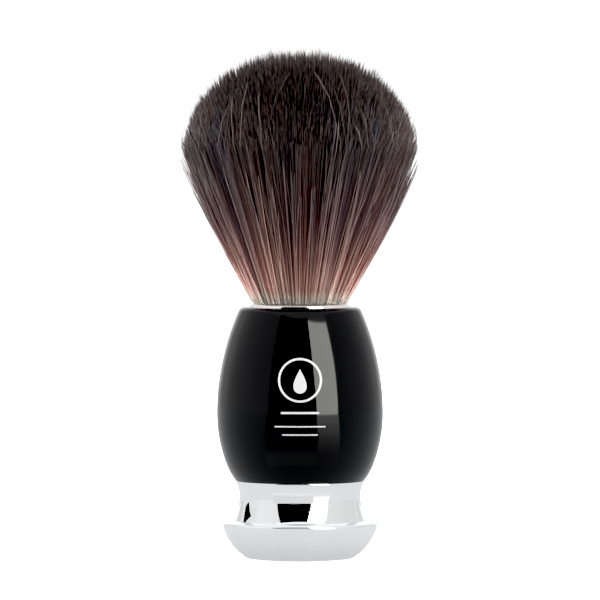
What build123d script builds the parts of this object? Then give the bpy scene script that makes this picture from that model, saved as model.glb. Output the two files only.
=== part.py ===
from build123d import *
import os

# Shaving brush, standing on its foot.  Millimetres, +Z up, origin at the centre of the
# foot's underside.  Every piece is turned about the Z axis and lies where it is assembled.

# Heights of the main joints, from the underside up
FOOT_TOP = 17.1
BELLY_HEIGHT = 31.8
BARREL_TOP = 55.3
MOUTH = 56.0
TUFT_START = 56.3
TUFT_TOP = 112.2

# Foot: a heavy casting with a flared dish below a coved neck
CONTACT_RADIUS = 11.8
DISH_MIDDLE = (14.9, 2.6)
DISH_EDGE = (17.0, 6.7)
RIM_CORNER = (17.25, 7.75)
RIM_ROUND = 0.45
NECK_BOTTOM = (14.7, 8.3)
NECK_WAIST = (13.4, 13.7)
NECK_TOP = (14.3, 16.8)
WEB_UNDERSIDE = 12.6
FOOT_BORE = 10.0
SPIGOT_RADIUS = 8.0
SPIGOT_HEIGHT = 1.2

# Barrel: a solid resin turning with a socket in its top
BARREL_FOOT_RADIUS = 14.35
BELLY_RADIUS = 18.35
BELLY_TO_FOOT = (16.3, 20.7)
BARREL_TOP_RADIUS = 13.15
SHOULDER_ROUND = 1.6
FOOT_END_ROUND = 0.2
SOCKET_RADIUS = 11.35
SOCKET_FLOOR = 41.3
SPIGOT_CLEARANCE = 0.05

# Fibre knot and the cup that holds it
FERRULE_RADIUS = 11.3
FERRULE_BORE = 10.6
FERRULE_BOTTOM = 43.3
FERRULE_LIP_ROUND = 0.25
ROOT_RADIUS = 10.5
POTTING_TOP = 46.8
THREAD_GROOVE_RADIUS = 10.0
THREAD_GROOVE_BOTTOM = 48.2
THREAD_DIAMETER = 0.5
THREAD_PITCH = 0.6
THREAD_TURNS = 3

# Free fibres: a cone that widens to a rounded crown
TUFT_ROOT_RADIUS = 10.4
CONE_TOP = (25.4, 84.2)
TUFT_WIDEST = (27.0, 91.2)
CROWN_RADIUS = 28.3
CROWN_EDGE_ANGLE = 30.0

# M6 screw joint between foot and barrel
SCREW_RADIUS = 3.0
SCREW_HEAD_RADIUS = 5.0
SCREW_HEAD_HEIGHT = 6.0
SCREW_LENGTH = 20.0
SCREW_KEY_ACROSS_FLATS = 5.0
SCREW_KEY_DEPTH = 3.0
SCREW_CLEARANCE_RADIUS = 3.2
FLAT_WASHER_RADIUS = 6.0
FLAT_WASHER_THICKNESS = 1.6
LOCK_WASHER_RADIUS = 5.9
LOCK_WASHER_BORE = 3.1
LOCK_WASHER_THICKNESS = 1.6
LOCK_WASHER_SPLIT = 0.9
INSERT_RADIUS = 4.5
INSERT_LENGTH = 10.0
INSERT_BOTTOM = 18.6
INSERT_GROOVE_DEPTH = 0.35
INSERT_GROOVE_WIDTH = 1.0
INSERT_BORE_TOP = 31.0

# Water seal in the foot's top face
SEAL_RADIUS = 11.2
SEAL_WIDTH = 1.7
SEAL_GROOVE_WIDTH = 2.0
SEAL_DEPTH = 1.2
SEAL_ROUND = 0.4

# Cap that closes the foot
CAP_RADIUS = 10.6
CAP_SEAT_RADIUS = 10.65
CAP_BOTTOM = 0.3
CAP_TOP = 1.8
CAP_SKIRT_TOP = 4.6
CAP_SKIRT_RADIUS = 9.95
CAP_SKIRT_WALL = 1.0
CAP_EDGE_ROUND = 0.3
CAP_RING_RADII = (4.0, 7.6)
CAP_RING_WIDTH = 0.6
CAP_RING_DEPTH = 0.25


def disc(radius, bottom, top):
    """A plain cylinder between two heights."""
    height = top - bottom
    return Pos(0, 0, bottom + height / 2) * Cylinder(radius, height)


def ring(outer, inner, bottom, top):
    """A tube between two heights."""
    return disc(outer, bottom, top) - disc(inner, bottom, top)


def turned(outline):
    """Revolve a closed outline of (radius, height) points about the Z axis."""
    return revolve(make_face(Plane.XZ * outline), Axis.Z)


def round_edge(solid, radius, height, size):
    """Round the circular edge of a turned solid that has this radius and height."""
    circles = solid.edges().filter_by(GeomType.CIRCLE)
    near = [e for e in circles if abs(e.radius - radius) + abs(e.center().Z - height) < 0.02]
    return fillet(near, size)


def make_foot():
    """Flared dish and coved neck, hollow from below, with a web for the screw."""
    outline = Line((0, 0), (CONTACT_RADIUS, 0))
    outline += ThreePointArc((CONTACT_RADIUS, 0), DISH_MIDDLE, DISH_EDGE)
    outline += Line(DISH_EDGE, RIM_CORNER)
    outline += Line(RIM_CORNER, NECK_BOTTOM)
    outline += TangentArc(NECK_WAIST, NECK_BOTTOM, tangent=(0, -1))
    outline += TangentArc(NECK_WAIST, NECK_TOP, tangent=(0, 1))
    outline += Polyline(NECK_TOP, (NECK_TOP[0], FOOT_TOP), (0, FOOT_TOP), (0, 0))
    foot = round_edge(turned(outline), *RIM_CORNER, RIM_ROUND)
    foot = round_edge(foot, NECK_TOP[0], FOOT_TOP, FOOT_END_ROUND)
    foot += disc(SPIGOT_RADIUS, FOOT_TOP, FOOT_TOP + SPIGOT_HEIGHT)
    foot -= disc(FOOT_BORE, 0, WEB_UNDERSIDE)
    foot -= disc(CAP_SEAT_RADIUS, 0, CAP_TOP)
    foot -= disc(SCREW_CLEARANCE_RADIUS, 0, FOOT_TOP + SPIGOT_HEIGHT)
    seal_outer = SEAL_RADIUS + SEAL_GROOVE_WIDTH / 2
    foot -= ring(seal_outer, seal_outer - SEAL_GROOVE_WIDTH, FOOT_TOP - SEAL_DEPTH, FOOT_TOP)
    return foot


def make_foot_seal():
    """Squashed rubber ring that fills its groove up to the barrel's end."""
    outer = SEAL_RADIUS + SEAL_WIDTH / 2
    seal = ring(outer, outer - SEAL_WIDTH, FOOT_TOP - SEAL_DEPTH, FOOT_TOP)
    return fillet(seal.edges().filter_by(GeomType.CIRCLE), SEAL_ROUND)


def make_base_cap():
    """Moulded cap with a skirt that grips the foot's bore and two shallow rings."""
    cap = disc(CAP_RADIUS, CAP_BOTTOM, CAP_TOP)
    cap = round_edge(cap, CAP_RADIUS, CAP_BOTTOM, CAP_EDGE_ROUND)
    cap += ring(CAP_SKIRT_RADIUS, CAP_SKIRT_RADIUS - CAP_SKIRT_WALL, CAP_TOP, CAP_SKIRT_TOP)
    for radius in CAP_RING_RADII:
        cap -= ring(radius, radius - CAP_RING_WIDTH, CAP_BOTTOM, CAP_BOTTOM + CAP_RING_DEPTH)
    return cap


def make_flat_washer():
    """Plain washer under the foot's web."""
    bottom = WEB_UNDERSIDE - FLAT_WASHER_THICKNESS
    return ring(FLAT_WASHER_RADIUS, SCREW_CLEARANCE_RADIUS, bottom, WEB_UNDERSIDE)


def make_lock_washer():
    """Split spring washer, pressed flat between the screw head and the plain washer."""
    top = WEB_UNDERSIDE - FLAT_WASHER_THICKNESS
    bottom = top - LOCK_WASHER_THICKNESS
    washer = ring(LOCK_WASHER_RADIUS, LOCK_WASHER_BORE, bottom, top)
    middle = (LOCK_WASHER_RADIUS + LOCK_WASHER_BORE) / 2
    split = Box(LOCK_WASHER_RADIUS, LOCK_WASHER_SPLIT, 2 * LOCK_WASHER_THICKNESS)
    return washer - Pos(middle, 0, bottom + LOCK_WASHER_THICKNESS / 2) * Rot(30, 0, 0) * split


def make_foot_screw():
    """M6 socket head cap screw, entered from below, its thread drawn as a plain shank."""
    seat = WEB_UNDERSIDE - FLAT_WASHER_THICKNESS - LOCK_WASHER_THICKNESS
    head_bottom = seat - SCREW_HEAD_HEIGHT
    screw = disc(SCREW_HEAD_RADIUS, head_bottom, seat)
    screw = round_edge(screw, SCREW_HEAD_RADIUS, head_bottom, CAP_EDGE_ROUND)
    screw += disc(SCREW_RADIUS, seat, seat + SCREW_LENGTH)
    key = RegularPolygon(SCREW_KEY_ACROSS_FLATS / 2, 6, major_radius=False)
    return screw - Pos(0, 0, head_bottom) * extrude(key, SCREW_KEY_DEPTH)


def make_threaded_insert():
    """Brass M6 insert with two grooves round it that lock it into the resin."""
    top = INSERT_BOTTOM + INSERT_LENGTH
    insert = ring(INSERT_RADIUS, SCREW_RADIUS, INSERT_BOTTOM, top)
    for third in (1, 2):
        height = INSERT_BOTTOM + INSERT_LENGTH * third / 3
        groove_inner = INSERT_RADIUS - INSERT_GROOVE_DEPTH
        low = height - INSERT_GROOVE_WIDTH / 2
        insert -= ring(INSERT_RADIUS + 1, groove_inner, low, low + INSERT_GROOVE_WIDTH)
    return insert


def make_barrel():
    """Bellied resin handle with the knot's socket above and the insert's bore below."""
    belly = (BELLY_RADIUS, BELLY_HEIGHT)
    shoulder = (BARREL_TOP_RADIUS, BARREL_TOP)
    foot_end = (BARREL_FOOT_RADIUS, FOOT_TOP)
    lower = TangentArc(belly, BELLY_TO_FOOT, tangent=(0, -1))
    outline = Line((0, FOOT_TOP), foot_end)
    outline += TangentArc(BELLY_TO_FOOT, foot_end, tangent=lower % 1)
    outline += lower
    outline += TangentArc(belly, shoulder, tangent=(0, 1))
    outline += Polyline(shoulder, (0, BARREL_TOP), (0, FOOT_TOP))
    barrel = round_edge(turned(outline), *shoulder, SHOULDER_ROUND)
    barrel = round_edge(barrel, *foot_end, FOOT_END_ROUND)
    barrel -= disc(SOCKET_RADIUS, SOCKET_FLOOR, BARREL_TOP)
    spigot_top = FOOT_TOP + SPIGOT_HEIGHT + 2 * SPIGOT_CLEARANCE
    barrel -= disc(SPIGOT_RADIUS + SPIGOT_CLEARANCE, FOOT_TOP, spigot_top)
    return barrel - disc(INSERT_RADIUS, FOOT_TOP, INSERT_BORE_TOP)


def make_adhesive_bed():
    """Epoxy that beds the knot on the socket's floor."""
    return disc(FERRULE_RADIUS, SOCKET_FLOOR, FERRULE_BOTTOM)


def make_knot_ferrule():
    """Plated sleeve round the knot, standing a little proud of the barrel."""
    ferrule = ring(FERRULE_RADIUS, FERRULE_BORE, FERRULE_BOTTOM, MOUTH)
    ferrule = round_edge(ferrule, FERRULE_RADIUS, MOUTH, FERRULE_LIP_ROUND)
    return round_edge(ferrule, FERRULE_BORE, MOUTH, FERRULE_LIP_ROUND)


def make_knot_potting():
    """Epoxy plug that the fibres' cut ends are cast in."""
    return disc(ROOT_RADIUS, FERRULE_BOTTOM, POTTING_TOP)


def make_fibre_roots():
    """Packed lower ends of the fibres, drawn in where the thread binds them."""
    groove_top = THREAD_GROOVE_BOTTOM + THREAD_TURNS * THREAD_PITCH
    roots = disc(ROOT_RADIUS, POTTING_TOP, MOUTH)
    return roots - ring(ROOT_RADIUS + 1, THREAD_GROOVE_RADIUS, THREAD_GROOVE_BOTTOM, groove_top)


def make_binding_thread():
    """Turns of waxed thread round the roots, side by side in their groove."""
    ring_radius = THREAD_GROOVE_RADIUS + THREAD_DIAMETER / 2
    turns = []
    for turn in range(THREAD_TURNS):
        height = THREAD_GROOVE_BOTTOM + (turn + 0.5) * THREAD_PITCH
        turns.append(Pos(0, 0, height) * Torus(ring_radius, THREAD_DIAMETER / 2))
    return Compound(children=turns)


def make_fibre_tuft():
    """The free fibres as one plain solid: a widening cone under a domed crown."""
    crown_centre = (0, TUFT_TOP - CROWN_RADIUS)
    crown = CenterArc(crown_centre, CROWN_RADIUS, CROWN_EDGE_ANGLE, 90 - CROWN_EDGE_ANGLE)
    outline = Polyline((0, TUFT_TOP), (0, TUFT_START), (TUFT_ROOT_RADIUS, TUFT_START), CONE_TOP)
    outline += ThreePointArc(CONE_TOP, TUFT_WIDEST, crown @ 0)
    outline += crown
    return turned(outline)


pieces = {
    "foot": make_foot(),
    "foot_seal": make_foot_seal(),
    "base_cap": make_base_cap(),
    "flat_washer": make_flat_washer(),
    "lock_washer": make_lock_washer(),
    "foot_screw": make_foot_screw(),
    "threaded_insert": make_threaded_insert(),
    "barrel": make_barrel(),
    "adhesive_bed": make_adhesive_bed(),
    "knot_ferrule": make_knot_ferrule(),
    "knot_potting": make_knot_potting(),
    "fibre_roots": make_fibre_roots(),
    "binding_thread": make_binding_thread(),
    "fibre_tuft": make_fibre_tuft(),
}

os.makedirs("parts", exist_ok=True)
for node, piece in pieces.items():
    export_step(piece, f"parts/{node}.step")
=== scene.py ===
import math

import bmesh
import bpy
import numpy as np
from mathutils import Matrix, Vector
from mathutils.kdtree import KDTree


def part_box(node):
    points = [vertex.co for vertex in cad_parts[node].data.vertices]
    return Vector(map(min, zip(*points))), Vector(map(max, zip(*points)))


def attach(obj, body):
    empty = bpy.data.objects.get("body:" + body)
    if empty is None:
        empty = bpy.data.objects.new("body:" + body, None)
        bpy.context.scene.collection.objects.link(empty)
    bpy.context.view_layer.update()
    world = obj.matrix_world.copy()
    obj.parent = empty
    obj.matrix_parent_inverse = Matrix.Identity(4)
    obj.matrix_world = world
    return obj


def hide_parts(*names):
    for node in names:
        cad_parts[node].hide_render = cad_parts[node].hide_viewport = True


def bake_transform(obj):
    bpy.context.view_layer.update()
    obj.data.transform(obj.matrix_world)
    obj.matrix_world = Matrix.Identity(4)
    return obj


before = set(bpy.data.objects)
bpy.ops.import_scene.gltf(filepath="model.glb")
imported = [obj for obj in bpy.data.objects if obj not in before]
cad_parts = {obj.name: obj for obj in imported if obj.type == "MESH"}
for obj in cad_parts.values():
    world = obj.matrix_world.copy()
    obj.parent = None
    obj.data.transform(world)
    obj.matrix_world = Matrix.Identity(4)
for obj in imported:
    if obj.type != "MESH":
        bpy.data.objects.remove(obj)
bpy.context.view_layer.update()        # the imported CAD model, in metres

# Shaving brush: the looks of its hair, resin, chrome and printed mark, and of its inner pieces.
# It stands on its foot at the origin with its front towards -Y, where the camera is.
# Metres and Z up; outlines, cards and the printed mark are given in millimetres.
MM = 0.001

# Camera
CAMERA_DISTANCE = 1.30
CAMERA_HEIGHT = 0.100
AIM_HEIGHT = 0.0568
LENS = 354.0
SENSOR_WIDTH = 36
BLACK_POINT = 0.03

# Studio: panels stand 1 m from its centre.  A bearing is in degrees from the camera's side,
# positive to its right, and an elevation in degrees.  A pair of bearings is for a panel's lower
# and upper edge, and a pair of tops for its left and right end.
STUDIO_CENTRE = 0.035
WORLD_STRENGTH = 1.06
PANEL_BOTTOM = -2.5
GAP_LEFT = (-44, -41)
GAP_TOP = 43
STRIP_LEFT = (23.4, 15.5)
STRIP_RIGHT = (53.5, 52)
STRIP_TOP = (42, 37.5)
STRIP_STRENGTH = 6.5
STRIP_TINT = (1.0, 1.0, 0.94)
WALL_END = 150
WALL_TOP = 42

# Wall strengths as (bearing, strength)
LEFT_WALL = [
    (-150, 1.0), (-147, 0.72), (-136, 0.70), (-130, 0.86),
    (-113, 0.82), (-95, 0.86), (-80, 0.90), (-46, 0.88),
]
RIGHT_WALL = [
    (44, 0.82), (80, 0.80), (95, 0.76), (118, 0.76),
    (130, 0.80), (138, 0.72), (146, 0.76), (150, 1.0),
]

# Panels on both sides that light matt surfaces only: name, bearings from and to, top, strength
MATT_LIGHTS = [
    ("front", 0, 50, 50, 1.04),
    ("side", 50, 90, 50, 2.6),
    ("rim", 90, 130, 28, 22.0),
    ("back", 130, 180, 50, 4.0),
]

# Overhead light for matt surfaces only
TOP_LIGHT_LOW = 76
TOP_LIGHT_HIGH = 89.5
TOP_LIGHT_STRENGTH = 16

# Floor, and the cards under its top that light or darken the brush instead of it
FLOOR_HALF = 40
FLOOR_EMISSION = 0.22
MATT_TABLE_STRENGTH = 0.63
TABLE_END = 40000
TABLE_TINT = (0.97, 0.99, 1.0)

# Turned pieces: facets round the axis, and the angle from which an edge looks sharp
SEGMENTS = 192
SHARP_ANGLE = math.radians(30)

# Barrel's side: its widest place, where it turns in to the foot, its foot end and its shoulder
BELLY = (18.35, 31.8)
FULLER = (16.3, 20.7)
FOOT_END_RADIUS = 14.35
SHOULDER_RADIUS = 13.15
SHOULDER_ROUND = 1.6
EDGE_ROUND = 0.2

# Printed mark: the ink's underside and its face above the resin, a drop in a ring, and three
# lines as (height, half width, half thickness)
INK_LIFTS = (0.003, 0.045)
MARK_HEIGHT = 39.9
RING_RADII = (4.35, 4.85)
DROP_HEIGHT = 39.7
DROP_HALF_HEIGHT = 2.7
DROP_HALF_WIDTH = 2.05
MARK_LINES = [(32.8, 4.2, 0.24), (29.8, 5.6, 0.15), (28.0, 3.9, 0.15)]

# Brush hair: fibres gather in tufts, tufts in locks, and colour changes over larger patches
FIBRES = 22000
LOCKS = 420
TUFTS = 7000
PATCHES = 60
LOOSE_SHARE = 0.03
LOOSE_SWING = 5.0
PALE_SHARE = 0.055
STRAY_STRANDS = 150
PALE_FIBRES = 80
CURLED_FIBRES = 62
CURL_START = 0.72
FIBRE_PIECES = 6
FIBRE_RADIUS = 0.062 * MM
FIBRE_SIDES = 3

# Places of a fibre's rings along it, from the sleeve's mouth to the tip
STEPS = np.array([-0.005, 0.12, 0.28, 0.45, 0.61, 0.76, 0.89, 0.975, 1.0])
FIBRE_RINGS = len(STEPS) - 1

# Shape of the bundle: a fan from an apex below the mouth, cut to a dome
KNOT_RADIUS = 10.5 * MM
FAN_APEX_DEPTH = 23.2 * MM
CROWN_REACH = 78.2 * MM
CROWN_FALL = 14.5 * MM
CROWN_POWER = 2.45
FAN_EDGE_ANGLE = math.radians(24.25)

# Hair colours from the root (0) to the crown (1)
DARK_HAIR = [
    (0.000, (0.98, 0.93, 0.87)),
    (0.030, (0.95, 0.75, 0.66)),
    (0.063, (0.610, 0.355, 0.308)),
    (0.128, (0.480, 0.262, 0.239)),
    (0.197, (0.325, 0.176, 0.170)),
    (0.265, (0.262, 0.157, 0.152)),
    (0.333, (0.208, 0.130, 0.136)),
    (0.402, (0.155, 0.108, 0.113)),
    (0.539, (0.140, 0.107, 0.110)),
    (0.607, (0.136, 0.110, 0.112)),
    (0.658, (0.101, 0.088, 0.090)),
    (0.710, (0.084, 0.073, 0.074)),
    (0.790, (0.059, 0.051, 0.051)),
    (0.840, (0.044, 0.037, 0.037)),
    (0.930, (0.031, 0.0245, 0.0245)),
    (1.000, (0.033, 0.0255, 0.0255)),
]
PALE_HAIR = [
    (0.000, (0.97, 0.91, 0.82)),
    (0.055, (0.88, 0.72, 0.60)),
    (0.180, (0.72, 0.51, 0.42)),
    (0.310, (0.50, 0.355, 0.30)),
    (0.500, (0.36, 0.275, 0.24)),
    (0.800, (0.22, 0.175, 0.160)),
    (1.000, (0.12, 0.10, 0.095)),
]

# Tint of the cooler (0) and the warmer (1) patches
HAIR_WARMTH = [
    (0.0, (0.75, 0.81, 0.92)),
    (0.5, (0.83, 0.83, 0.83)),
    (1.0, (0.98, 0.83, 0.76)),
]


# ---------------------------------------------------------------- outlines and turned pieces

def heights(node):
    """A CAD node's lowest and highest point, in millimetres."""
    low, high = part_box(node)
    return low[2] / MM, high[2] / MM


def arc(start, end, radius, steps):
    """Points from start to end on a short arc; a positive radius bulges to the right of the way."""
    start = np.array(start, float)
    end = np.array(end, float)
    along = end - start
    half = np.linalg.norm(along) / 2
    right = np.array([along[1], -along[0]]) / (2 * half)
    back = math.copysign(math.sqrt(max(radius * radius - half * half, 0)), radius)
    centre = (start + end) / 2 - right * back
    first = math.atan2(*(start - centre)[::-1])
    turn = math.atan2(*(end - centre)[::-1]) - first
    turn = (turn + math.pi) % (2 * math.pi) - math.pi
    angles = first + turn * np.linspace(0, 1, steps + 1)
    return [tuple(centre + abs(radius) * np.array([math.cos(a), math.sin(a)])) for a in angles]


def tangent_arc(start, way, end, steps):
    """Points of the arc that leaves start in the direction way and arrives at end."""
    along = np.array(end, float) - np.array(start, float)
    way = np.array(way, float) / np.linalg.norm(way)
    turn = way[0] * along[1] - way[1] * along[0]
    return arc(start, end, (along @ along) / (2 * turn), steps)


def rounded(before, corner, after, radius, steps=6):
    """Points that round a corner between the points before and after it."""
    before, corner, after = (np.array(p, float) for p in (before, corner, after))
    one = (before - corner) / np.linalg.norm(before - corner)
    two = (after - corner) / np.linalg.norm(after - corner)
    half_angle = math.acos(float(np.clip(one @ two, -1, 1))) / 2
    back = radius / math.tan(half_angle)
    turn_right = one[0] * two[1] - one[1] * two[0] > 0
    return arc(corner + one * back, corner + two * back, -radius if turn_right else radius, steps)


def placed(name, mesh):
    """An object for this mesh, in the scene."""
    piece = bpy.data.objects.new(name, mesh)
    bpy.context.scene.collection.objects.link(piece)
    return piece


def shell_mesh(name, points, faces):
    """A mesh with all its faces turned outwards."""
    mesh = bpy.data.meshes.new(name)
    mesh.from_pydata(points, [], faces)
    shape = bmesh.new()
    shape.from_mesh(mesh)
    bmesh.ops.recalc_face_normals(shape, faces=shape.faces)
    shape.to_mesh(mesh)
    shape.free()
    return mesh


def turned(name, outline, closed=False):
    """A piece turned about Z from (radius, height) points, with its outline closed if asked."""
    rings = []
    points = []
    for radius, height in outline:
        count = 1 if radius < 1e-6 else SEGMENTS
        angles = [2 * math.pi * k / SEGMENTS for k in range(count)]
        rings.append([len(points) + k for k in range(count)])
        points += [(radius * MM * math.cos(a), radius * MM * math.sin(a), height * MM) for a in angles]
    pairs = list(zip(rings, rings[1:]))
    if closed:
        pairs.append((rings[-1], rings[0]))
    faces = []
    for low, high in pairs:
        for k in range(SEGMENTS):
            corners = [low[k % len(low)], low[(k + 1) % len(low)],
                       high[(k + 1) % len(high)], high[k % len(high)]]
            faces.append(tuple(dict.fromkeys(corners)))
    mesh = shell_mesh(name, points, faces)
    mesh.shade_smooth()
    mesh.set_sharp_from_angle(angle=SHARP_ANGLE)
    return placed(name, mesh)


# ---------------------------------------------------------------- materials

def new_material(name, colour, roughness, **sockets):
    """A Principled material, its node tree and its shader."""
    material = bpy.data.materials.new(name)
    material.use_nodes = True
    tree = material.node_tree
    shader = tree.nodes["Principled BSDF"]
    shader.inputs["Base Color"].default_value = (*colour, 1)
    shader.inputs["Roughness"].default_value = roughness
    for socket, value in sockets.items():
        shader.inputs[socket.replace("_", " ")].default_value = value
    return material, tree, shader


def noise(tree, scale, detail, stretch=(1, 1, 1)):
    """Noise in the object's own coordinates, its scale in repeats per metre."""
    place = tree.nodes.new("ShaderNodeTexCoord")
    squeeze = tree.nodes.new("ShaderNodeMapping")
    squeeze.inputs["Scale"].default_value = stretch
    texture = tree.nodes.new("ShaderNodeTexNoise")
    texture.inputs["Scale"].default_value = scale
    texture.inputs["Detail"].default_value = detail
    tree.links.new(place.outputs["Object"], squeeze.inputs["Vector"])
    tree.links.new(squeeze.outputs["Vector"], texture.inputs["Vector"])
    return texture.outputs["Fac"]


def ranged(tree, source, low, high):
    """Spread the middle of a noise, where most of its values lie, over low to high."""
    spread = tree.nodes.new("ShaderNodeMapRange")
    spread.inputs["From Min"].default_value = 0.3
    spread.inputs["From Max"].default_value = 0.7
    spread.inputs["To Min"].default_value = low
    spread.inputs["To Max"].default_value = high
    tree.links.new(source, spread.inputs["Value"])
    return spread.outputs["Result"]


def ramp(tree, source, stops):
    """A colour that follows a value, by (value, colour) stops."""
    node = tree.nodes.new("ShaderNodeValToRGB")
    elements = node.color_ramp.elements
    for place, colour in stops[1:-1]:
        elements.new(place)
    for element, (place, colour) in zip(elements, stops):
        element.position = place
        element.color = (*colour, 1)
    tree.links.new(source, node.inputs["Fac"])
    return node.outputs["Color"]


def mottled(tree, source, dark, light):
    """A colour that wanders between dark and light with a noise."""
    return ramp(tree, source, [(0.3, dark), (0.7, light)])


def mixed(tree, share, first, second):
    """A mix of two colours, with this share of the second."""
    node = tree.nodes.new("ShaderNodeMix")
    node.data_type = "RGBA"
    tree.links.new(share, node.inputs["Factor"])
    tree.links.new(first, node.inputs["A"])
    tree.links.new(second, node.inputs["B"])
    return node.outputs["Result"]


def multiplied(tree, colour, factor):
    """A colour times another colour, or times a value."""
    node = tree.nodes.new("ShaderNodeVectorMath")
    node.operation = "MULTIPLY"
    tree.links.new(colour, node.inputs[0])
    tree.links.new(factor, node.inputs[1])
    return node.outputs["Vector"]


def attribute(tree, name):
    """A value stored on the mesh."""
    node = tree.nodes.new("ShaderNodeAttribute")
    node.attribute_name = name
    return node.outputs["Fac"]


def bumped(tree, shader, height, strength, distance):
    """Bump the shader by a height value."""
    bump = tree.nodes.new("ShaderNodeBump")
    bump.inputs["Strength"].default_value = strength
    bump.inputs["Distance"].default_value = distance
    tree.links.new(height, bump.inputs["Height"])
    tree.links.new(bump.outputs["Normal"], shader.inputs["Normal"])


def coloured(tree, shader, colour, roughness):
    """Give the shader its colour and its roughness."""
    tree.links.new(colour, shader.inputs["Base Color"])
    tree.links.new(roughness, shader.inputs["Roughness"])


def black_resin():
    """Deep black polished resin with faint clouding and hairline polishing marks."""
    material, tree, shader = new_material("black_resin", (0.002, 0.002, 0.0023), 0.05, IOR=1.47)
    colour = mottled(tree, noise(tree, 60, 4), (0.0008, 0.0008, 0.0011), (0.0022, 0.0022, 0.0028))
    coloured(tree, shader, colour, ranged(tree, noise(tree, 220, 5), 0.035, 0.075))
    bumped(tree, shader, noise(tree, 900, 2, (1, 1, 6)), 0.015, 0.00002)
    return material


def polished_chrome():
    """Bright chrome plate, very slightly uneven, with faint turning marks."""
    material, tree, shader = new_material("polished_chrome", (0.91, 0.915, 0.92), 0.04, Metallic=1.0)
    colour = mottled(tree, noise(tree, 90, 3), (0.89, 0.895, 0.905), (0.93, 0.935, 0.94))
    coloured(tree, shader, colour, ranged(tree, noise(tree, 300, 4), 0.03, 0.07))
    bumped(tree, shader, noise(tree, 2500, 1, (0.02, 0.02, 1)), 0.01, 0.00002)
    return material


def hair():
    """Brush hair: pale at the root, reddish brown, then almost black, every fibre its own shade."""
    material, tree, shader = new_material("brush_hair", (0.03, 0.02, 0.02), 0.38)
    along = attribute(tree, "along")
    own = mixed(tree, attribute(tree, "tone"), ramp(tree, along, DARK_HAIR), ramp(tree, along, PALE_HAIR))
    tinted = multiplied(tree, own, ramp(tree, attribute(tree, "warmth"), HAIR_WARMTH))
    shaded = multiplied(tree, tinted, attribute(tree, "shade"))
    tree.links.new(shaded, shader.inputs["Base Color"])
    return material


def plain_metal(name, dark, light, roughness, lines):
    """Turned or plated metal with fine marks round the axis."""
    material, tree, shader = new_material(name, light, roughness, Metallic=1.0)
    marks = noise(tree, lines, 2, (0.05, 0.05, 1))
    uneven = ranged(tree, marks, roughness * 0.8, roughness * 1.3)
    coloured(tree, shader, mottled(tree, noise(tree, 400, 4), dark, light), uneven)
    bumped(tree, shader, marks, 0.15, 0.00003)
    return material


def plain_solid(name, dark, light, roughness, grain):
    """Plastic, rubber, epoxy, thread, hair ends or ink, with a fine uneven grain."""
    material, tree, shader = new_material(name, light, roughness)
    uneven = ranged(tree, noise(tree, grain * 2, 3), roughness * 0.85, roughness * 1.15)
    coloured(tree, shader, mottled(tree, noise(tree, grain, 5), dark, light), uneven)
    bumped(tree, shader, noise(tree, grain * 3, 2), 0.2, 0.00005)
    return material


# ---------------------------------------------------------------- camera

def make_camera():
    """The camera, and how dark its picture's darkest tones are."""
    scene = bpy.context.scene
    data = bpy.data.cameras.new("camera")
    data.lens = LENS
    data.sensor_width = SENSOR_WIDTH
    data.clip_start = 0.05
    data.clip_end = 50
    camera = placed("camera", data)
    place = Vector((0, -CAMERA_DISTANCE, CAMERA_HEIGHT))
    aim = Vector((0, 0, AIM_HEIGHT))
    camera.location = place
    camera.rotation_euler = (aim - place).to_track_quat("-Z", "Y").to_euler()
    scene.camera = camera
    scene.view_settings.view_transform = "Standard"
    scene.view_settings.use_curve_mapping = True
    scene.view_settings.curve_mapping.black_level = (BLACK_POINT, BLACK_POINT, BLACK_POINT)


# ---------------------------------------------------------------- studio

def glow(name, strength, tint=(1, 1, 1)):
    """A plain emitter for studio panels and cards."""
    material = bpy.data.materials.new(name)
    material.use_nodes = True
    tree = material.node_tree
    tree.nodes.clear()
    glower = tree.nodes.new("ShaderNodeEmission")
    glower.inputs["Color"].default_value = (*tint, 1)
    glower.inputs["Strength"].default_value = strength
    out = tree.nodes.new("ShaderNodeOutputMaterial")
    tree.links.new(glower.outputs["Emission"], out.inputs["Surface"])
    return material


def bearing_reading(tree, place):
    """The bearing of a place, from 0 at -180 degrees to 1 at 180 degrees."""
    split = tree.nodes.new("ShaderNodeSeparateXYZ")
    tree.links.new(place, split.inputs["Vector"])
    flip = tree.nodes.new("ShaderNodeMath")
    flip.operation = "MULTIPLY"
    flip.inputs[1].default_value = -1
    tree.links.new(split.outputs["Y"], flip.inputs[0])
    angle = tree.nodes.new("ShaderNodeMath")
    angle.operation = "ARCTAN2"
    tree.links.new(split.outputs["X"], angle.inputs[0])
    tree.links.new(flip.outputs["Value"], angle.inputs[1])
    turn = tree.nodes.new("ShaderNodeMapRange")
    turn.inputs["From Min"].default_value = -math.pi
    turn.inputs["From Max"].default_value = math.pi
    tree.links.new(angle.outputs["Value"], turn.inputs["Value"])
    return turn.outputs["Result"]


def distance_reading(tree, place):
    """The distance of a place from the origin, in metres."""
    node = tree.nodes.new("ShaderNodeVectorMath")
    node.operation = "LENGTH"
    tree.links.new(place, node.inputs[0])
    return node.outputs["Value"]


def graded_glow(name, reading, stops, tint=(1, 1, 1)):
    """An emitter whose strength follows a reading of the place, by (reading, strength) stops."""
    strongest = max(strength for _, strength in stops)
    material = glow(name, strongest)
    tree = material.node_tree
    place = tree.nodes.new("ShaderNodeTexCoord").outputs["Object"]
    colours = [(where, tuple(np.array(tint) * strength / strongest)) for where, strength in stops]
    shade = ramp(tree, reading(tree, place), colours)
    tree.links.new(shade, tree.nodes["Emission"].inputs["Color"])
    return material


def wall_glow(name, stops):
    """An emitter graded by (bearing, strength) stops."""
    turns = [((bearing + 180) / 360, strength) for bearing, strength in stops]
    return graded_glow(name, bearing_reading, turns)


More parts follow.
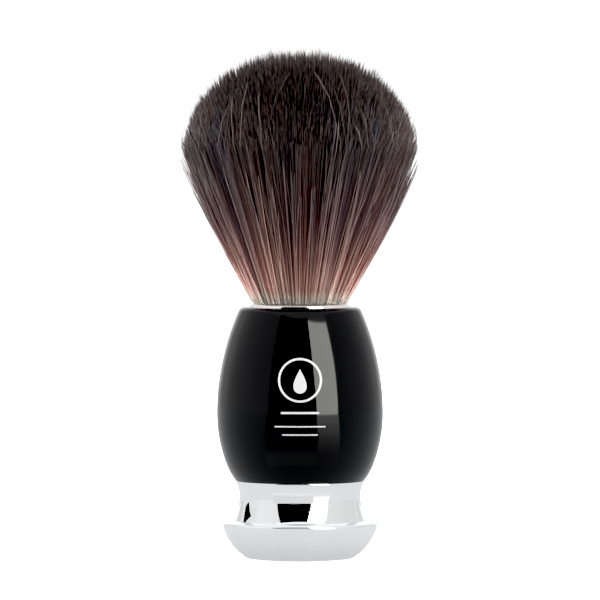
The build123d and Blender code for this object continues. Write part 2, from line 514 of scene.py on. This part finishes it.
def quads_over(index):
    """The four-cornered faces of a grid of point numbers."""
    corners = [index[:-1, :-1], index[:-1, 1:], index[1:, 1:], index[1:, :-1]]
    return np.stack(corners, axis=-1).reshape(-1, 4).tolist()


def sheet(name, points, material):
    """A sheet through a grid of points."""
    rows, columns = points.shape[:2]
    index = np.arange(rows * columns).reshape(rows, columns)
    mesh = bpy.data.meshes.new(name)
    mesh.from_pydata(points.reshape(-1, 3).tolist(), [], quads_over(index))
    mesh.materials.append(material)
    return placed(name, mesh)


def stage_panel(panel, hidden):
    """Put a panel in the studio, hidden from the camera and from matt or from glossy surfaces."""
    panel.visible_camera = False
    panel.visible_diffuse = hidden != "matt"
    panel.visible_glossy = hidden != "glossy"
    panel.visible_shadow = False
    panel.visible_transmission = False


def at_bearings(bearings, reach, height):
    """Points at these bearings, this far from the brush's axis and this high, in metres."""
    angle = np.radians(np.asarray(bearings) - 90)
    return np.stack(np.broadcast_arrays(reach * np.cos(angle), reach * np.sin(angle), height), axis=-1)


def studio_panel(name, left, right, material, low=PANEL_BOTTOM, high=WALL_TOP, hidden="matt"):
    """A panel 1 m from the brush between two bearings and two elevations; all but low may be pairs."""
    across = np.linspace(0, 1, 29)[None, :]
    up = np.linspace(0, 1, 11)[:, None]
    low_left, high_left = np.broadcast_to(left, 2)
    low_right, high_right = np.broadcast_to(right, 2)
    starts = low_left + (high_left - low_left) * up
    ends = low_right + (high_right - low_right) * up
    left_top, right_top = np.broadcast_to(high, 2)
    tops = left_top + (right_top - left_top) * across
    lift = np.radians(low + (tops - low) * up)
    points = at_bearings(starts + (ends - starts) * across, np.cos(lift), STUDIO_CENTRE + np.sin(lift))
    stage_panel(sheet(name, points, material), hidden)


def near_card(name, left, right, reach, bottom, top, material):
    """A low curved card close to the foot, seen in its polish only.  Sizes in millimetres."""
    bearings = np.linspace(np.broadcast_to(left, 2), np.broadcast_to(right, 2), 25, axis=1)
    levels = np.array([bottom, top])[:, None] * MM
    stage_panel(sheet(name, at_bearings(bearings, reach * MM, levels), material), "matt")


def table_card(name, left, right, start, end, depth, material, hidden="matt"):
    """A flat sector this deep under the table's top.  Sizes in millimetres."""
    bearings = np.linspace(left, right, 49)[None, :]
    reach = np.array([start, end])[:, None] * MM
    stage_panel(sheet(name, at_bearings(bearings, reach, -depth * MM), material), hidden)


def make_floor():
    """A white floor for the camera; the brush's own surfaces see the table cards instead."""
    material, _, shader = new_material("pale_floor", (0.9, 0.9, 0.9), 0.6,
                                       Emission_Strength=FLOOR_EMISSION)
    shader.inputs["Emission Color"].default_value = (1, 1, 1, 1)
    ends = (-FLOOR_HALF, FLOOR_HALF)
    corners = np.array([[(x, y, 0) for x in ends] for y in ends])
    floor = sheet("floor", corners, material)
    floor.visible_glossy = False
    floor.visible_diffuse = False


def make_table_cards():
    """Tables just under the floor's top: one that matt surfaces see, and those that the polish sees, the
    nearest of them darker round the foot as a painted contact shadow.
    """
    table_card("table_for_matt", -180, 180, 0, TABLE_END, 0.25,
               glow("matt_table_glow", MATT_TABLE_STRENGTH), "glossy")
    # Painted shadow: this card is darker within about 30 mm of the axis, as the table's shade round the
    # foot
    table = graded_glow("table_glow", distance_reading,
                        [(0.012, 0.66), (0.018, 0.78), (0.030, 0.83)], TABLE_TINT)
    table_card("table_in_polish", -180, 180, 0, TABLE_END, 0.2, table)
    front = graded_glow("front_table_glow", distance_reading, [(0.052, 0.88), (0.085, 0.64)])
    table_card("front_table_in_polish", -46, 22, 40, 1000, 0.15, front)
    streak = graded_glow("streak_glow", distance_reading,
                         [(0.055, 0.85), (0.08, 1.05), (0.13, 1.5), (0.3, 2.1)])
    table_card("strip_on_table", 23, 54, 40, 990, 0.1, streak)


def make_foot_cards(black):
    """Low cards for the foot's polish: a pale one in front, and a black flag on the left.

    The flag has a lid that hides it from the barrel.
    """
    near_card("near_front_card", -46, 23, 60, 0, 17.2, glow("near_card_glow", 0.78))
    near_card("near_flag", (-94, -88), (-85, -75), 24, 13.05, 14.6, black)
    table_card("near_flag_lid", -104, -66, 19, 28, -14.65, glow("lid_glow", 0.83))


def make_matt_lights():
    """Soft lights for the hair and other matt surfaces, never seen in the polish."""
    for name, near, far, top, strength in MATT_LIGHTS:
        softbox = glow(name + "_light_glow", strength)
        studio_panel("left_" + name + "_light", -far, -near, softbox, high=top, hidden="glossy")
        studio_panel("right_" + name + "_light", near, far, softbox, high=top, hidden="glossy")
    overhead = glow("top_light_glow", TOP_LIGHT_STRENGTH)
    studio_panel("top_light", -180, 180, overhead, TOP_LIGHT_LOW, TOP_LIGHT_HIGH, hidden="glossy")


def make_studio():
    """White surroundings and floor, a wide dark gap behind the camera, a tall strip light and walls.

    Further cards and lights are seen by the foot's polish or by matt surfaces only.
    """
    world = bpy.data.worlds.new("studio")
    bpy.context.scene.world = world
    world.use_nodes = True
    surroundings = world.node_tree.nodes["Background"]
    surroundings.inputs["Color"].default_value = (1, 1, 1, 1)
    surroundings.inputs["Strength"].default_value = WORLD_STRENGTH
    make_floor()
    make_table_cards()
    black = glow("black_flag", 0.0)
    studio_panel("dark_gap", GAP_LEFT, STRIP_LEFT, black, high=GAP_TOP)
    strip = glow("strip_glow", STRIP_STRENGTH, STRIP_TINT)
    studio_panel("strip_light", STRIP_LEFT, STRIP_RIGHT, strip, high=STRIP_TOP)
    studio_panel("left_wall", -WALL_END, GAP_LEFT, wall_glow("left_wall_glow", LEFT_WALL))
    studio_panel("right_wall", STRIP_RIGHT, WALL_END, wall_glow("right_wall_glow", RIGHT_WALL))
    make_foot_cards(black)
    make_matt_lights()


# ---------------------------------------------------------------- handle pieces

def barrel_side():
    """The barrel's curved side, from where it turns in to the foot up to its shoulder."""
    shoulder = (SHOULDER_RADIUS, heights("barrel")[1])
    lower = tangent_arc(BELLY, (0, -1), FULLER, 24)
    upper = tangent_arc(BELLY, (0, 1), shoulder, 48)
    return lower[::-1] + upper[1:]


def barrel_outline():
    """The insert's bore, the spigot's recess, the foot end, the side, the rounded top and the socket."""
    seam, top = heights("barrel")
    bore, bore_top = 4.5, 31.0
    recess, recess_top = 8.05, 18.4
    socket, socket_floor = 11.35, heights("adhesive_bed")[0]
    side = barrel_side()
    foot_end = (FOOT_END_RADIUS, seam)
    leaving = np.array(side[0]) - np.array(side[1])
    foot_arc = tangent_arc(FULLER, leaving, foot_end, 12)
    points = [(0, bore_top), (bore, bore_top), (bore, recess_top), (recess, recess_top), (recess, seam)]
    points += rounded((recess, seam), foot_end, foot_arc[-3], EDGE_ROUND)
    points += foot_arc[-2:0:-1] + side[:-3]
    points += rounded(side[-4], (SHOULDER_RADIUS, top), (socket, top), SHOULDER_ROUND, 12)
    points += [(socket, top), (socket, socket_floor), (0, socket_floor)]
    return points


def foot_outline():
    """The spigot, the seal's groove, the coved neck, the flared dish and the hollow underside."""
    ground, spigot_top = heights("foot")
    groove_floor, seam = heights("foot_seal")
    web = heights("flat_washer")[1]
    screw_hole, spigot, hollow = 3.2, 8.0, 10.0
    groove_in, groove_out = 10.2, 12.2
    cap_seat, cap_seat_top = 10.65, 1.8
    top_edge = (14.3, 16.8)
    waist = (13.4, 13.7)
    neck_bottom = (14.7, 8.3)
    rim = (17.25, 7.75)
    dish_edge = (17.0, 6.7)
    points = [(screw_hole, spigot_top), (spigot, spigot_top), (spigot, seam)]
    points += [(groove_in, seam), (groove_in, groove_floor), (groove_out, groove_floor), (groove_out, seam)]
    points += rounded((groove_out, seam), (top_edge[0], seam), top_edge, EDGE_ROUND)
    points += tangent_arc(waist, (0, 1), top_edge, 16)[::-1]
    points += tangent_arc(waist, (0, -1), neck_bottom, 24)[1:]
    points += rounded(neck_bottom, rim, dish_edge, 0.45, 10)
    points += arc(dish_edge, (11.8, ground), -10.9, 24)
    points += [(cap_seat, ground), (cap_seat, cap_seat_top), (hollow, cap_seat_top)]
    points += [(hollow, web), (screw_hole, web)]
    return points


def base_cap_outline():
    """The underside with two ring grooves, the round edge, the flange and the skirt inside the foot."""
    underside, skirt_top = heights("base_cap")
    edge, flange_top = 10.6, 1.8
    skirt_out, skirt_in = 9.95, 8.95
    grooves, groove_width, groove_depth = (4.0, 7.6), 0.6, 0.25
    roof = underside + groove_depth
    points = [(0, underside)]
    for outer in grooves:
        inner = outer - groove_width
        points += [(inner, underside), (inner, roof), (outer, roof), (outer, underside)]
    points += rounded((grooves[-1], underside), (edge, underside), (edge, flange_top), 0.3)
    points += [(edge, flange_top), (skirt_out, flange_top), (skirt_out, skirt_top)]
    points += [(skirt_in, skirt_top), (skirt_in, flange_top), (0, flange_top)]
    return points


def ferrule_outline():
    """The sleeve's wall, with a round lip."""
    bottom, mouth = heights("knot_ferrule")
    inside, outside = 10.6, 11.3
    points = [(inside, bottom), (outside, bottom)]
    points += rounded((outside, bottom), (outside, mouth), (inside, mouth), 0.6, 12)
    points += rounded((outside, mouth), (inside, mouth), (inside, bottom), 0.08)
    return points


# ---------------------------------------------------------------- brush hair

def sunflower(count, rng, jitter):
    """Even points in a unit disc, each moved a little."""
    index = np.arange(count) + 0.5
    radius = np.sqrt(index / count)
    angle = index * math.pi * (3 - math.sqrt(5))
    spots = np.stack([radius * np.cos(angle), radius * np.sin(angle)], axis=1)
    return spots + rng.normal(0, jitter / math.sqrt(count), spots.shape)


def nearest(spots, centres):
    """The number of the nearest centre to each spot."""
    tree = KDTree(len(centres))
    for number, (x, y) in enumerate(centres):
        tree.insert((x, y, 0), number)
    tree.balance()
    return np.array([tree.find((x, y, 0))[1] for x, y in spots])


def fan(spots, length):
    """Where fibres that leave the knot at unit-disc spots are, this far along (0 to 1 or more)."""
    out = np.linalg.norm(spots, axis=-1)
    angle = np.arctan(out * KNOT_RADIUS / FAN_APEX_DEPTH)
    start = FAN_APEX_DEPTH / np.cos(angle)
    end = CROWN_REACH - CROWN_FALL * (angle / FAN_EDGE_ANGLE) ** CROWN_POWER
    reach = start + (end - start) * length
    side = np.sin(angle) * reach / np.maximum(out, 1e-9)
    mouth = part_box("fibre_tuft")[0][2]
    height = mouth - FAN_APEX_DEPTH + np.cos(angle) * reach
    return np.stack([spots[..., 0] * side, spots[..., 1] * side, height], axis=-1)


def fibre_lengths(rng, out, in_tuft):
    """Lengths as shares of the full one.

    Fibres of one tuft end together, the outermost ones are cut less evenly, and a few are short.
    """
    length = 1 + rng.normal(0, 0.008, TUFTS)[in_tuft] + rng.normal(0, 0.010, FIBRES)
    length -= 0.05 * np.clip((out - 0.85) / 0.15, 0, 1) * rng.random(FIBRES)
    length -= 0.06 * rng.random(FIBRES) ** 8
    return length


def fibre_points(rng, roots, length, lock, tuft):
    """Centre lines that lean to their lock, then to their tuft, with a wave and a swing."""
    lock_pull = 0.24 * rng.random(FIBRES)
    tuft_pull = 0.10 + 0.30 * rng.random(FIBRES)
    wave = rng.normal(0, 0.008, (FIBRES, 2))
    swing = rng.normal(0, 0.008, (FIBRES, 2))
    swing[rng.random(FIBRES) < LOOSE_SHARE] *= LOOSE_SWING
    phase = rng.random(FIBRES) * 2 * math.pi
    points = np.empty((FIBRES, FIBRE_RINGS + 1, 3))
    for ring, s in enumerate(STEPS):
        spot = roots + (lock - roots) * (lock_pull * abs(s) ** 1.5)[:, None]
        spot = spot + (tuft - spot) * (tuft_pull * s ** 4)[:, None]
        spot = spot + wave * (np.sin(4.5 * s + phase) * s)[:, None] + swing * s * s
        points[:, ring] = fan(spot, s * length)
    return points


def fibre_looks(rng, roots, out, in_lock, in_tuft):
    """Each fibre's shade, warmth and tone, partly shared within its tuft, lock and patch, with the
    outermost fibres darker as painted shade.
    """
    shade = rng.normal(0, 0.14, LOCKS)[in_lock] + rng.normal(0, 0.20, TUFTS)[in_tuft]
    # Painted shade: fibres from the outermost tenth of the root disc are darker, against the strong rim
    # light at the bundle's edges
    shade += rng.normal(0, 0.36, FIBRES) - 0.35 * np.clip((out - 0.9) / 0.1, 0, 1)
    in_patch = nearest(roots + rng.normal(0, 0.04, roots.shape), sunflower(PATCHES, rng, 0.5))
    warmth = rng.normal(0, 1, PATCHES)[in_patch] + rng.normal(0, 0.6, LOCKS)[in_lock]
    tone = np.clip(rng.normal(0.03, 0.05, TUFTS)[in_tuft] + rng.normal(0, 0.05, FIBRES), 0, 1)
    pale = rng.random(FIBRES) < PALE_SHARE
    tone[pale] = 0.3 + 0.6 * rng.random(int(pale.sum()))
    return {"shade": shade, "warmth": warmth, "tone": tone}


def fibre_paths():
    """Centre lines, thicknesses and looks of all the fibres, the stray ones last."""
    rng = np.random.default_rng(4)
    roots = sunflower(FIBRES, rng, 0.35)
    out = np.linalg.norm(roots, axis=1)
    locks = sunflower(LOCKS, rng, 0.5)
    tufts = sunflower(TUFTS, rng, 0.5)
    in_lock = nearest(roots, locks)
    in_tuft = nearest(roots, tufts)
    length = fibre_lengths(rng, out, in_tuft)
    points = fibre_points(rng, roots, length, locks[in_lock], tufts[in_tuft])
    looks = fibre_looks(rng, roots, out, in_lock, in_tuft)
    thickness = FIBRE_RADIUS * (1 + 0.18 * rng.normal(0, 1, FIBRES))
    stray_points, stray_thickness, stray_looks = stray_paths(rng)
    points = np.concatenate([points, stray_points])
    thickness = np.concatenate([thickness, stray_thickness])
    looks = {look: np.concatenate([values, stray_looks[look]]) for look, values in looks.items()}
    looks["turn"] = rng.random(len(points))
    return points, thickness, looks


def stray_paths(rng):
    """Dark strands that stand off the bundle, pale fibres on it and pale ones curled over its crown."""
    sizes = np.ones(STRAY_STRANDS + PALE_FIBRES + CURLED_FIBRES, int)
    sizes[:STRAY_STRANDS] = rng.integers(1, 4, STRAY_STRANDS)
    strands = len(sizes)
    strand = np.repeat(np.arange(strands), sizes)
    count = len(strand)
    loose = strand < STRAY_STRANDS
    curled = strand >= STRAY_STRANDS + PALE_FIBRES

    def either(off, on):
        """Each fibre's value for its strand: off the bundle, or on it."""
        return np.where(loose, off[strand], on[strand])

    heading = rng.random(strands) * 2 * math.pi
    heading[:STRAY_STRANDS] -= 0.33 * np.sin(2 * heading[:STRAY_STRANDS])
    heading = heading[strand] + rng.normal(0, 0.008, count)
    bow = either(rng.uniform(0.0, 0.06, strands), rng.uniform(0.0, 0.006, strands))
    spread = either(rng.uniform(0.0, 0.10, strands), rng.uniform(-0.006, 0.004, strands))
    bow = bow + rng.normal(0, 0.003, count) * loose
    spread = spread + rng.normal(0, 0.004, count) * loose
    drift = either(rng.normal(0, 0.05, strands), rng.normal(0, 0.10, strands))
    curl = np.where(curled, rng.uniform(0.08, 0.60, strands)[strand], 0)
    curl *= 0.25 + 0.75 * np.sin(heading) ** 2
    inward = heading + math.pi + rng.normal(0, 0.12, strands)[strand]
    length = either(rng.uniform(0.72, 1.03, strands), rng.uniform(0.6, 1.0, strands))
    length = length + rng.normal(0, 0.02, count)
    points = np.empty((count, FIBRE_RINGS + 1, 3))
    for ring, s in enumerate(STEPS):
        turn = heading + drift * max(s, 0) ** 1.5
        out = 1.0 + bow * 4 * s * (1 - s) + spread * s
        over = curl * max(0, (s - CURL_START) / (1 - CURL_START)) ** 1.2
        spot = np.stack([np.cos(turn) * out + np.cos(inward) * over,
                         np.sin(turn) * out + np.sin(inward) * over], axis=-1)
        far = np.where(curled, min(1.27 * s, 1.0) + 0.009, s * length)
        points[:, ring] = fan(spot, far)
    thickness = FIBRE_RADIUS * np.where(loose, rng.uniform(1.0, 1.6, count), rng.uniform(0.8, 1.25, count))
    shade = np.where(loose, rng.normal(-0.05, 0.25, count), rng.normal(0.1, 0.25, count))
    tone = np.where(loose, rng.uniform(0, 0.2, count), rng.uniform(0.3, 1.0, count))
    return points, thickness, {"shade": shade, "warmth": np.zeros(count), "tone": tone}


def tube_points(points, thickness, turn):
    """Rings of points round each centre line, then its tip."""
    way = np.gradient(points, axis=1)
    way /= np.linalg.norm(way, axis=-1, keepdims=True)
    any_way = [0.3, 0.5, 0.8]
    side = np.cross(way, any_way)
    side /= np.linalg.norm(side, axis=-1, keepdims=True)
    other = np.cross(way, side)
    taper = np.interp(STEPS, [0, 0.6, 0.975, 1.0], [1.1, 1.0, 0.8, 0.0])
    angles = (turn[:, None] + np.arange(FIBRE_SIDES)) * 2 * math.pi / FIBRE_SIDES
    angles = angles[:, None, :, None]
    rim = side[:, :-1, None] * np.cos(angles) + other[:, :-1, None] * np.sin(angles)
    rim = rim * (thickness[:, None] * taper[None, :-1])[:, :, None, None]
    tubes = (points[:, :-1, None] + rim).reshape(len(points), -1, 3)
    return np.concatenate([tubes, points[:, -1:]], axis=1)


def tube_faces():
    """One fibre's quads, and its triangles at the root and the tip."""
    quads = []
    triangles = [[2, 1, 0]]
    tip = FIBRE_RINGS * FIBRE_SIDES
    last = tip - FIBRE_SIDES
    for ring in range(FIBRE_RINGS - 1):
        for k in range(FIBRE_SIDES):
            a = ring * FIBRE_SIDES + k
            b = ring * FIBRE_SIDES + (k + 1) % FIBRE_SIDES
            quads.append([a, b, b + FIBRE_SIDES, a + FIBRE_SIDES])
    for k in range(FIBRE_SIDES):
        triangles.append([last + k, last + (k + 1) % FIBRE_SIDES, tip])
    return np.array(quads), np.array(triangles)


def store(mesh, name, values):
    """Keep one value for each point of the mesh under this name."""
    mesh.attributes.new(name, "FLOAT", "POINT").data.foreach_set("value", values.astype(np.float32))


def fibre_mesh(name, points, thickness, looks):
    """Tapered tubes with closed roots and pointed tips, in one mesh."""
    corners = tube_points(points, thickness, looks["turn"])
    count, per = corners.shape[:2]
    start = (np.arange(count) * per)[:, None, None]
    quads, triangles = tube_faces()
    quads = (quads[None] + start).reshape(-1, 4)
    triangles = (triangles[None] + start).reshape(-1, 3)
    loops = np.concatenate([quads.ravel(), triangles.ravel()]).astype(np.int32)
    starts = np.concatenate([np.arange(len(quads)) * 4, quads.size + np.arange(len(triangles)) * 3])
    mesh = bpy.data.meshes.new(name)
    mesh.vertices.add(count * per)
    mesh.vertices.foreach_set("co", corners.astype(np.float32).ravel())
    mesh.loops.add(len(loops))
    mesh.loops.foreach_set("vertex_index", loops)
    mesh.polygons.add(len(starts))
    mesh.polygons.foreach_set("loop_start", starts.astype(np.int32))
    mesh.update(calc_edges=True)
    mesh.shade_smooth()
    along = np.linalg.norm(points - points[:, :1], axis=-1) / (CROWN_REACH - FAN_APEX_DEPTH)
    along = np.concatenate([np.repeat(along[:, :-1], FIBRE_SIDES, axis=1), along[:, -1:]], axis=1)
    # Shades even out towards the tip, and patches of warmth start above the pale root
    shade = 1.2 * np.exp(looks["shade"][:, None] * (1 - 0.6 * along))
    warmth = 0.5 + 0.19 * looks["warmth"][:, None] * np.clip(along * 7, 0, 1)
    store(mesh, "along", along.ravel())
    store(mesh, "shade", shade.ravel())
    store(mesh, "tone", np.repeat(looks["tone"], per))
    store(mesh, "warmth", warmth.ravel())
    return mesh


def make_hair():
    """All the hair, in sectors round the axis, fanning out from the sleeve's mouth upwards."""
    points, thickness, looks = fibre_paths()
    material = hair()
    heading = np.arctan2(points[:, 0, 1], points[:, 0, 0]) + math.pi
    sector = np.minimum((heading / (2 * math.pi) * FIBRE_PIECES).astype(int), FIBRE_PIECES - 1)
    for number in range(FIBRE_PIECES):
        mine = sector == number
        own_looks = {look: values[mine] for look, values in looks.items()}
        name = f"hair_lock_{number + 1}"
        piece = placed(name, fibre_mesh(name, points[mine], thickness[mine], own_looks))
        piece.data.materials.append(material)
        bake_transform(piece)
        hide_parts("fibre_tuft")


# ---------------------------------------------------------------- printed mark

def ink(points, faces, across, levels, closed=False):
    """Add a thin closed shell of ink over a grid of places on the barrel's front.

    Places are millimetres round the barrel from its front line, and levels are heights.
    """
    side = np.array(barrel_side())
    radius = np.interp(levels, side[:, 1], side[:, 0])
    turn = across / radius
    rows, columns = across.shape
    index = len(points) + np.arange(2 * rows * columns).reshape(2, rows, columns)
    for lift in INK_LIFTS:
        out = radius + lift
        layer = np.stack([out * np.sin(turn), -out * np.cos(turn), levels], axis=-1)
        points.extend((layer.reshape(-1, 3) * MM).tolist())
    if closed:
        index = np.concatenate([index, index[:, :, :1]], axis=2)
    inner, outer = index
    faces.extend(quads_over(outer) + quads_over(inner))
    rims = [(inner[0], outer[0]), (inner[-1], outer[-1])]
    if not closed:
        rims += [(inner[:, 0], outer[:, 0]), (inner[:, -1], outer[:, -1])]
    for low, high in rims:
        faces.extend(quads_over(np.stack([low, high])))


def front_mark():
    """A plain printed mark: a drop inside a ring, over three short lines."""
    points = []
    faces = []
    turn = np.linspace(0, 2 * math.pi, 97)[None, :-1]
    rim = np.array(RING_RADII)[:, None]
    ink(points, faces, rim * np.cos(turn), MARK_HEIGHT + rim * np.sin(turn), closed=True)
    fall = np.linspace(0.03, math.pi - 0.03, 40)[:, None]
    width = DROP_HALF_WIDTH * np.sin(fall) * np.sin(fall / 2) ** 1.4
    drop = DROP_HEIGHT + DROP_HALF_HEIGHT * np.cos(fall) + np.zeros((1, 9))
    ink(points, faces, width * np.linspace(-1, 1, 9)[None, :], drop)
    for height, half_width, half_line in MARK_LINES:
        place = np.linspace(-half_width, half_width, 25)[None, :] + np.zeros((2, 1))
        levels = height + np.array([-half_line, half_line])[:, None] + np.zeros((1, 25))
        ink(points, faces, place, levels)
    mark = placed("front_mark", shell_mesh("front_mark", points, faces))
    mark.data.materials.append(plain_solid("white_ink", (0.74, 0.74, 0.74), (0.82, 0.82, 0.82), 0.45, 2500))
    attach(mark, "handle")


# ---------------------------------------------------------------- the brush

def dress(piece, material, node):
    """Give a new handle piece its material and let it stand for its CAD node."""
    piece.data.materials.append(material)
    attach(piece, "handle")
    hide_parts(node)


def dress_nodes(nodes, material):
    """Give CAD nodes a better material."""
    for node in nodes:
        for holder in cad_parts[node].material_slots:
            holder.material = material


def make_handle():
    """The turned pieces of the handle, and its printed mark."""
    chrome = polished_chrome()
    dress(turned("barrel_turning", barrel_outline()), black_resin(), "barrel")
    dress(turned("foot_casting", foot_outline(), closed=True), chrome, "foot")
    dress(turned("ferrule_sleeve", ferrule_outline(), closed=True), chrome, "knot_ferrule")
    cap_plastic = plain_solid("cap_plastic", (0.012, 0.012, 0.013), (0.026, 0.026, 0.028), 0.5, 2500)
    dress(turned("base_cap_moulding", base_cap_outline()), cap_plastic, "base_cap")
    front_mark()


def dress_inside():
    """Materials for the pieces that are hidden in the handle."""
    rubber = plain_solid("seal_rubber", (0.010, 0.010, 0.010), (0.024, 0.024, 0.024), 0.6, 1800)
    steel = plain_metal("bright_steel", (0.50, 0.50, 0.51), (0.63, 0.63, 0.64), 0.28, 3000)
    brass = plain_metal("turned_brass", (0.62, 0.43, 0.17), (0.78, 0.58, 0.27), 0.25, 3000)
    epoxy = plain_solid("epoxy", (0.36, 0.23, 0.09), (0.50, 0.34, 0.15), 0.2, 600)
    roots = plain_solid("root_hair", (0.62, 0.54, 0.46), (0.86, 0.79, 0.70), 0.8, 4000)
    thread = plain_solid("waxed_thread", (0.55, 0.47, 0.32), (0.75, 0.67, 0.50), 0.6, 3000)
    dress_nodes(["foot_seal"], rubber)
    dress_nodes(["flat_washer", "lock_washer", "foot_screw"], steel)
    dress_nodes(["threaded_insert"], brass)
    dress_nodes(["adhesive_bed", "knot_potting"], epoxy)
    dress_nodes(["fibre_roots"], roots)
    dress_nodes(["binding_thread"], thread)


make_camera()
make_studio()
make_handle()
make_hair()
dress_inside()
